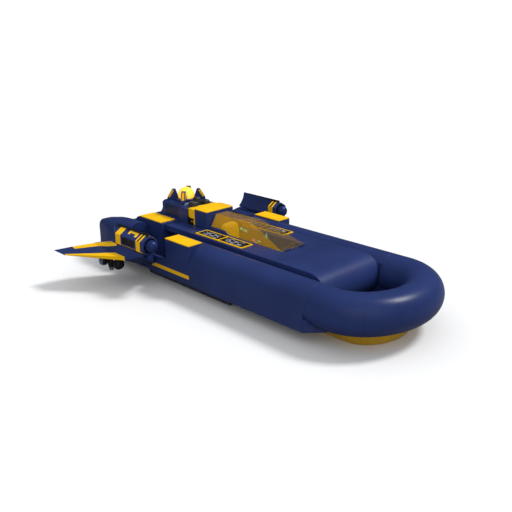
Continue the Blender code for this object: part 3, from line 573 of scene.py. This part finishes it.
def cushion(name, low, high, channels, lean=0.0, rear_rise=0.0, narrowing=0.0):
    """A stuffed pad between two corners, with sewn channels pressed 10 mm into its top, or
    into its front where it leans. It leans back by so much over its height, its top rises by
    so much towards its rear, and its sides draw in by so much above a shoulder."""
    low, high = np.array(low), np.array(high)
    room, swell, net_size = 0.012, 0.011, 0.014
    channel_deep, channel_half = 0.010, 0.010
    half, centre = (high - low) / 2 - room, (high + low) / 2
    piece = skinned(name, pad_rows(low, high, room), seat_vinyl, smooth=180)
    blow_up(piece, net_size, swell)
    mesh = piece.data
    spots = np.empty(len(mesh.vertices) * 3)
    mesh.vertices.foreach_get("co", spots)
    spots = spots.reshape(-1, 3)
    face = 2 if lean == 0.0 else 0
    facing = np.clip(((spots - centre) / half)[:, face], 0, 1)
    for line in channels:
        groove = np.exp(-(((spots[:, 1] - line) / channel_half) ** 2))
        spots[:, face] -= channel_deep * groove * facing
    spots = np.clip(spots, low + 0.001, high - 0.001)
    height = (spots[:, 2] - low[2]) / (high[2] - low[2])
    aft = np.clip((low[0] + 0.20 - spots[:, 0]) / 0.16, 0, 1)
    spots[:, 0] -= lean * height
    spots[:, 2] += rear_rise * height * aft**2 * (3 - 2 * aft)
    spots[:, 1] *= 1 - narrowing / high[1] * np.clip((height - 0.72) / 0.28, 0, 1) ** 1.5
    mesh.vertices.foreach_set("co", spots.ravel())
    mesh.materials.clear()
    mesh.materials.append(seat_vinyl)
    mesh.shade_smooth()
    mesh.update()
    finer = piece.modifiers.new("smooth_skin", "SUBSURF")
    finer.levels = finer.render_levels = 1
    return piece


seat_vinyl = make_vinyl()
seat_half, seat_floor = 0.26, 0.4703
seat_cushion = cushion(
    "seat_cushion_pad",
    (-0.748, -seat_half, seat_floor),
    (-0.23, seat_half, 0.735),
    (-0.13, 0.0, 0.13),
    rear_rise=0.105,
)
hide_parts("seat_cushion")
seat_back = cushion(
    "seat_back_pad",
    (-0.928, -seat_half, seat_floor),
    (-0.7505, seat_half, 1.238),
    (-0.10, 0.0, 0.10),
    lean=0.040,
    narrowing=0.055,
)
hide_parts("seat_back")


def glow(name, colour, strength):
    """A lit surface whose brightness drifts a little, as behind a diffuser."""
    made, tree, shader = new_finish(name)
    drift = noise(tree, object_place(tree), 14.0, 3.0)
    dim = tuple(c * 0.55 for c in colour[:3]) + (1.0,)
    shade = blended(tree, drift, dim, colour)
    tree.links.new(shade, shader.inputs["Base Color"])
    tree.links.new(shade, shader.inputs["Emission Color"])
    shader.inputs["Emission Strength"].default_value = strength
    shader.inputs["Roughness"].default_value = 0.3
    return made


def tile(name, centre, across, up, size, finish):
    """A small rounded screen: a superellipse of power 4 as wide and high as its size along
    two directions, its rim raised by 4 mm towards their cross product."""
    across, up = np.array(across, dtype=float), np.array(up, dtype=float)
    facing = np.cross(across, up)
    turn = np.linspace(0, 2 * np.pi, 40, endpoint=False)
    shape = np.stack([np.cos(turn), np.sin(turn)], axis=1)
    shape = np.sign(shape) * np.abs(shape) ** 0.5
    rows = []
    for reach, lift in ((1.0, 0.0), (1.0, 0.003), (0.94, 0.004)):
        wide = shape[:, :1] * across * reach * size[0] / 2
        high = shape[:, 1:] * up * reach * size[1] / 2
        rows.append(np.array(centre) + wide + high + facing * lift)
    return skinned(name, rows, finish)


green_light = glow("green_display", (0.05, 0.60, 0.35, 1.0), 1.0)
pink_light = glow("pink_display", (0.85, 0.16, 0.35, 1.0), 0.9)
console_run, console_rise = 0.18, 0.13
slope = math.atan2(console_rise, console_run)
console_up = (math.cos(slope), 0.0, math.sin(slope))
screen_x, screen_z, screen_size = 0.58 - 0.0004, 0.915 + 0.0006, 0.13
for number, (y, light) in enumerate(((-0.17, green_light), (0.0, pink_light), (0.17, green_light))):
    size = (screen_size, screen_size)
    centre = (screen_x, y, screen_z)
    tile(f"console_screen_{number}", centre, (0, -1, 0), console_up, size, light)
well_wall = 0.3297
wall_tiles = (
    (-0.835, 1.005, 0.075, 0.055, green_light),
    (-0.735, 0.985, 0.055, 0.045, green_light),
    (-0.675, 0.985, 0.030, 0.075, green_light),
    (-0.450, 0.825, 0.070, 0.040, pink_light),
    (-0.380, 0.790, 0.050, 0.030, pink_light),
    (-0.275, 0.835, 0.080, 0.030, green_light),
    (-0.048, 1.012, 0.050, 0.105, green_light),
    (0.712, 1.020, 0.020, 0.020, pink_light),
)
for number, (x, z, wide, high, light) in enumerate(wall_tiles):
    centre = (x, well_wall, z)
    tile(f"wall_light_{number}", centre, (1, 0, 0), (0, 0, 1), (wide, high), light)

# Canopy: a tinted acrylic shell in flat facets, hinged at its front edge. Its two hinge straps
# are painted over, and the knuckles on the deck are steel. Low coamings lie along its foot.
canopy_tint, tint_tree, tint_shader = new_finish("canopy_tint")
strap = {"Low": (1.014, 0.11, 1.0), "High": (1.2, 0.26, 1.12)}
strap_mask = group(tint_tree, painted_box, strap).outputs[0]
tint_place = object_place(tint_tree)
tint_cloud = noise(tint_tree, tint_place, 2.2, 3.0)
side_tint = blended(tint_tree, tint_cloud, (1.0, 0.56, 0.02, 1.0), (0.92, 0.50, 0.015, 1.0))
# Painted shade: by the way each facet faces, the roof facets are coloured a darker, greyer brown than
# the sides, and the sloping front pane darker still.
tint_normal = add(tint_tree, "NewGeometry").outputs["True Normal"]
tint_facing = add(tint_tree, "SeparateXYZ", {0: tint_normal}).outputs
tint_up = maths(tint_tree, "ABSOLUTE", tint_facing["Z"])
tint_ahead = maths(tint_tree, "ABSOLUTE", tint_facing["X"])
roof_painted_shade = maths(tint_tree, "GREATER_THAN", tint_up, 0.9)
tint_slope = maths(tint_tree, "GREATER_THAN", tint_ahead, 0.2)
front_painted_shade = maths(tint_tree, "MULTIPLY", tint_slope, roof_painted_shade)
tint_shade = blended(tint_tree, roof_painted_shade, side_tint, (0.31, 0.21, 0.09, 1.0))
tint_shade = blended(tint_tree, front_painted_shade, tint_shade, (0.17, 0.12, 0.05, 1.0))
tint_shade = blended(tint_tree, strap_mask, tint_shade, (0.03, 0.045, 0.12, 1.0))
tint_tree.links.new(tint_shade, tint_shader.inputs["Base Color"])
tint_alpha = remapped(tint_tree, strap_mask, (0.0, 1.0), (0.27, 1.0))
tint_tree.links.new(tint_alpha, tint_shader.inputs["Alpha"])
tint_haze = noise(tint_tree, tint_place, 6.0, 2.0)
tint_rough = remapped(tint_tree, tint_haze, (0.0, 1.0), (0.06, 0.10))
tint_tree.links.new(tint_rough, tint_shader.inputs["Roughness"])
tint_shader.inputs["Specular IOR Level"].default_value = 0.2
skin("canopy", canopy_tint, body="canopy", edge=0.0, smooth=5)
STEEL = (0.12, 0.13, 0.16, 1.0)
steel_finish = paint("hinge_steel", STEEL, dust=0.1, wear=0.2, gloss=0.35, metallic=0.6)
skin("canopy_hinge", steel_finish, edge=0.001)
for side in ("port", "starboard"):
    skin(f"coaming_{side}", block_paint, edge=0.006)

# Headrest block and its cap, the yellow panel behind it with its rubber-tipped pegs, and the
# dark machinery blocks on the low front of the tower, two joined to the third by a pipe.
skin("headrest_block", block_paint, edge=0.012)
skin("headrest_cap", pad_paint, edge=0.006)
peg_mark = (BLACK, (-1.9, 0.386, 1.0), (-1.6, 0.5, 1.25))
skin("peg_panel", paint("panel_paint", YELLOW, [peg_mark], dust=0.1), edge=0.004)
pipe_paint = paint("pipe_paint", (0.035, 0.038, 0.045, 1.0), dust=0.2, wear=0.5, gloss=0.45)


def block_rows(low, high, cut_off):
    """A block with its four upright corners and its top edges cut off: eight points round
    each of three levels, the top one drawn in."""
    rows = []
    c = cut_off
    for z, inset in ((low[2], 0.0), (high[2] - c, 0.0), (high[2], c)):
        x0, x1 = low[0] + inset, high[0] - inset
        y0, y1 = low[1] + inset, high[1] - inset
        rows.append(
            [(x0 + c, y0, z), (x1 - c, y0, z), (x1, y0 + c, z), (x1, y1 - c, z),
             (x1 - c, y1, z), (x0 + c, y1, z), (x0, y1 - c, z), (x0, y0 + c, z)]
        )
    return rows


foot_low, foot_high, block_low = 1.4105, 1.431, 1.4312
foot_front, foot_edge = -1.8303, 0.012
blocks = (
    ((-1.97, -0.27, block_low), (-1.80, -0.11, 1.535)),
    ((-2.035, -0.09, block_low), (-1.885, 0.05, 1.600)),
    ((-1.94, 0.07, block_low), (-1.77, 0.22, 1.530)),
)
for number, (low, high) in enumerate(blocks):
    rows = block_rows(low, high, 0.02)
    skinned(f"machinery_block_{number}", rows, pipe_paint, smooth=20)
    foot_corner = (low[0] - foot_edge, low[1] - foot_edge, foot_low)
    rows = block_rows(foot_corner, (foot_front, high[1] + foot_edge, foot_high), 0.006)
    skinned(f"machinery_foot_{number}", rows, pipe_paint, smooth=20)
link_x, link_z, link_radius = -1.895, 1.465, 0.024
for number, (start, end) in enumerate(((-0.115, -0.085), (0.045, 0.075))):
    rows = bar_rows([(link_x, start, link_z), (link_x, end, link_z)], link_radius, 20)
    skinned(f"machinery_pipe_{number}", rows, pipe_paint)

# Tower: the upright reactor housing, folded and welded sheet with a darker panel on each side.
# The panel's darker, bluer navy is painted shade, which also holds back the yellow light
# bounced onto it from the pads.
PANEL_SHADE_NAVY = (0.005, 0.018, 0.085, 1.0)
tower_panel_shade = (PANEL_SHADE_NAVY, (-2.66, 0.40, 1.13), (-2.16, 0.5, 1.40))
skin("tower", paint("tower_paint", NAVY, [tower_panel_shade]), edge=0.010)

# Reactor: a lit yellow globe held in a round cradle by four upright claws, each with a yellow
# stripe down its outer side and another down the outer edge of each flank.
core_glow = glow("core_light", (1.0, 0.62, 0.08, 1.0), 1.15)
core_tree = core_glow.node_tree
core_shader = core_tree.nodes["Principled BSDF"]
# Painted shade: the glow is coloured a deeper orange towards the globe's rim, where it turns from the
# eye.
core_facing = add(core_tree, "LayerWeight", {"Blend": 0.45}).outputs["Facing"]
core_rim_shade = remapped(core_tree, core_facing, (0.12, 0.75))
core_shade = core_shader.inputs["Emission Color"].links[0].from_socket
core_glow_with_rim_shade = blended(core_tree, core_rim_shade, core_shade, (0.95, 0.36, 0.01, 1.0))
core_tree.links.new(core_glow_with_rim_shade, core_shader.inputs["Emission Color"])
core_shader.inputs["Specular IOR Level"].default_value = 0.1
core_centre, core_radius = np.array((-2.371, 0.0, 1.574)), 0.19
polar = np.linspace(0, np.pi, 41)[:, None]
about = np.linspace(0, 2 * np.pi, 80, endpoint=False)[None]
globe = np.stack(
    [np.sin(polar) * np.cos(about), np.sin(polar) * np.sin(about), np.cos(polar) + 0 * about], axis=2
)
core_rows = core_centre + globe * core_radius
core = skinned("core_globe", core_rows, core_glow, smooth=180, caps=False)
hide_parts("reactor_core")
skin("core_cradle", block_paint, edge=0.004)
claw_yellow = paint("claw_yellow", YELLOW, dust=0.0, wear=0.0)
claw_foot = np.array((-2.371, 0.0, 1.4703))
claw_slope = ((0.4275, 0.072), (0.3795, 0.152), (0.3303, 0.234))
claw_half, stripe_half, stripe_deep = 0.0482, 0.026, 0.006
flank_wide, flank_deep = 0.045, 0.004
for angle in (50, 130, 230, 310):
    across = np.array((math.cos(math.radians(angle)), math.sin(math.radians(angle)), 0.0))
    beside = np.array((-across[1], across[0], 0.0))
    spots = [claw_foot + across * reach + (0, 0, height) for reach, height in claw_slope]
    foot_side, top_side = beside * stripe_half, beside * (stripe_half - 0.002) + across * stripe_deep
    turned = top_side - 2 * beside * (stripe_half - 0.002)
    rows = [[spot + foot_side, spot - foot_side, spot + turned, spot + top_side] for spot in spots]
    skinned(f"claw_stripe_{angle}", rows, claw_yellow)
    for number, turn in enumerate((-1, 1)):
        rows = []
        for spot in spots:
            front = spot - across * flank_deep + beside * turn * claw_half
            rear = front - across * flank_wide
            out = beside * turn * flank_deep
            rows.append([front, rear, rear + out, front + out])
        skinned(f"claw_flank_{angle}_{number}", rows, claw_yellow)

# Thruster pods: octagonal casings with two raised yellow bands, a machinery recess in the
# outer side, a black rail on the ridge and a fan with a round nose in the bore. The black
# inside the recess and on the walls of the fan duct and jet pipe is painted shade.
fan_y, pipe_y, pod_z = 1.944, 2.0125, 1.05
mark_low, mark_high = 1.222, 1.248
pod_marks_and_shade = [
    (YELLOW, (-2.1455, 1.9405, 0.5), (-1.9645, 3.0, 1.2565)),
    (YELLOW, (-1.4005, 1.0, 0.5), (-1.2595, 3.0, 2.0)),
    (BLACK, (-1.356, 1.0, 1.150), (-1.304, 3.0, 2.0)),
    (YELLOW, (-2.30, 2.10, 0.925), (-1.163, 2.2, 0.940)),
    (YELLOW, (-1.80, 1.94, mark_low), (-1.48, 2.09, mark_high)),
    (YELLOW, (-1.80, 1.94, 1.198), (-1.73, 2.09, mark_high)),
    (YELLOW, (-1.555, 1.94, 1.186), (-1.48, 2.09, mark_high)),
    # Painted shade: black inside the machinery recess.
    (BLACK, (-1.912, 2.10, 0.968), (-1.468, 2.118, 1.122)),
    # Painted shade: black on the walls of the fan duct and the jet pipe.
    (BLACK, (0.0, fan_y, pod_z), 0.1615, -1.42, -1.1605),
    (BLACK, (0.0, pipe_y, pod_z), 0.1015, -2.60, -1.35),
]
casing_paint = paint("casing_paint", NAVY, pod_marks_and_shade)
rail_paint = paint("rail_paint", BLACK, dust=0.1, wear=0.8, gloss=0.4)
fan_nose = (NAVY, (-1.185, 1.0, 0.5), (-0.9, 3.0, 2.0))
fan_paint = paint("fan_paint", MACHINE_GREY, [fan_nose], dust=0.1, gloss=0.28, metallic=0.3)
recess_y = 2.1196
recess_pipes = (
    (-1.90, -1.48, 0.985, 0.0045),
    (-1.86, -1.62, 1.09, 0.0048),
    (-1.70, -1.50, 1.045, 0.005),
    (-1.78, -1.74, 1.03, 0.005),
)
for sign, side in ((1, "port"), (-1, "starboard")):
    skin(f"pod_casing_{side}", casing_paint, edge=0.004, smooth=25)
    skin(f"pod_rail_{side}", rail_paint, edge=0.004)
    skin(f"pod_fan_{side}", fan_paint, body=f"fan_{side}", edge=0.0)
    for number, (start, end, z, radius) in enumerate(recess_pipes):
        path = [(x, sign * recess_y, z) for x in (start, start * 0.6 + end * 0.4, end)]
        rows = bar_rows(path, radius, 12)
        skinned(f"recess_pipe_{side}_{number}", rows, pipe_paint)

# Outriggers and wings: welded fairings that carry the pods, and the thin swept wings with a
# yellow stripe along the leading edge and another across the trailing half. The stripes are
# patches seen from above; the sensor balls under each wing are black glass and grey metal.
wing_root = 2.2523
front_stripe = (YELLOW, (-2.668, 3.055), (-1.986, 2.222), (-1.0, 2.1), (-1.6, 3.8))
rear_stripe = (YELLOW, (-3.017, 2.697), (-2.841, 1.977), (-2.549, 2.034), (-2.833, 2.732))
wing_paint = paint("wing_paint", NAVY, [front_stripe, rear_stripe])
inner_stripe = (YELLOW, (-2.908, wing_root), (-2.475, 2.055), (-2.35, 2.212), (-2.638, wing_root))
band_stripe = (YELLOW, (-2.475, 2.055), (-2.144, 2.128), (-2.08, 2.155), (-2.37, 2.216))
outrigger_paint = paint("outrigger_paint", NAVY, [inner_stripe, band_stripe])
cone_mark = ((0.10, 0.105, 0.115, 1.0), (-2.09, 2.28, 0.40), (-1.91, 2.47, 0.505))
ball_mark = ((0.10, 0.14, 0.24, 1.0), (-2.30, 2.32, 0.45), (-2.103, 2.60, 0.74))
probe_finish = paint("probe_finish", BLACK, [cone_mark, ball_mark], dust=0.0, wear=0.1, gloss=0.14)
for side in ("port", "starboard"):
    skin(f"outrigger_{side}", outrigger_paint, edge=0.004, smooth=25)
    skin(f"wing_{side}", wing_paint, edge=0.004)
    skin(f"wing_probe_{side}", probe_finish, edge=0.0)

# The room: a pale floor, a dim white world that looks bright only to the camera, a soft sun
# from the port bow and a weaker one, softer still, from the starboard bow.
floor_reach, floor_drop = 400, 0.001
corners = [(-1, -1), (1, -1), (1, 1), (-1, 1)]
floor_mesh = bpy.data.meshes.new("floor")
floor_mesh.from_pydata([(x * floor_reach, y * floor_reach, 0) for x, y in corners], [], [(0, 1, 2, 3)])
floor = bpy.data.objects.new("floor", floor_mesh)
scene.collection.objects.link(floor)
floor_finish, floor_tree, floor_shader = new_finish("floor_finish")
floor_seen = floor_tree.nodes.new("ShaderNodeLightPath").outputs["Is Camera Ray"]
floor_shade = blended(floor_tree, floor_seen, (0.22, 0.22, 0.24, 1.0), (0.92, 0.92, 0.92, 1.0))
floor_tree.links.new(floor_shade, floor_shader.inputs["Base Color"])
floor_shader.inputs["Roughness"].default_value = 0.9
floor_mesh.materials.append(floor_finish)
floor.location.z = -floor_drop
world = bpy.data.worlds.new("studio")
world.use_nodes = True
sky = world.node_tree
sky.nodes["Background"].inputs[0].default_value = (0.97, 0.98, 1.0, 1)
rays = sky.nodes.new("ShaderNodeLightPath").outputs
soft_light, reflected, seen = 0.60, 0.05, 1.0
lit = maths(sky, "MULTIPLY_ADD", rays["Is Diffuse Ray"], soft_light, reflected)
shown = maths(sky, "MULTIPLY", rays["Is Camera Ray"], seen)
sky.links.new(maths(sky, "ADD", lit, shown), sky.nodes["Background"].inputs[1])
scene.world = world
suns = (("key", (-0.29, -0.50, -0.81), 1.85, 15), ("fill", (-0.6, 0.6, -0.5), 0.42, 60))
for name, direction, power, softness in suns:
    sun = bpy.data.lights.new(name, "SUN")
    sun.energy, sun.angle = power, math.radians(softness)
    lamp = bpy.data.objects.new(name, sun)
    lamp.rotation_euler = Vector(direction).to_track_quat("-Z", "Y").to_euler()
    scene.collection.objects.link(lamp)
scene.view_settings.view_transform = "Standard"
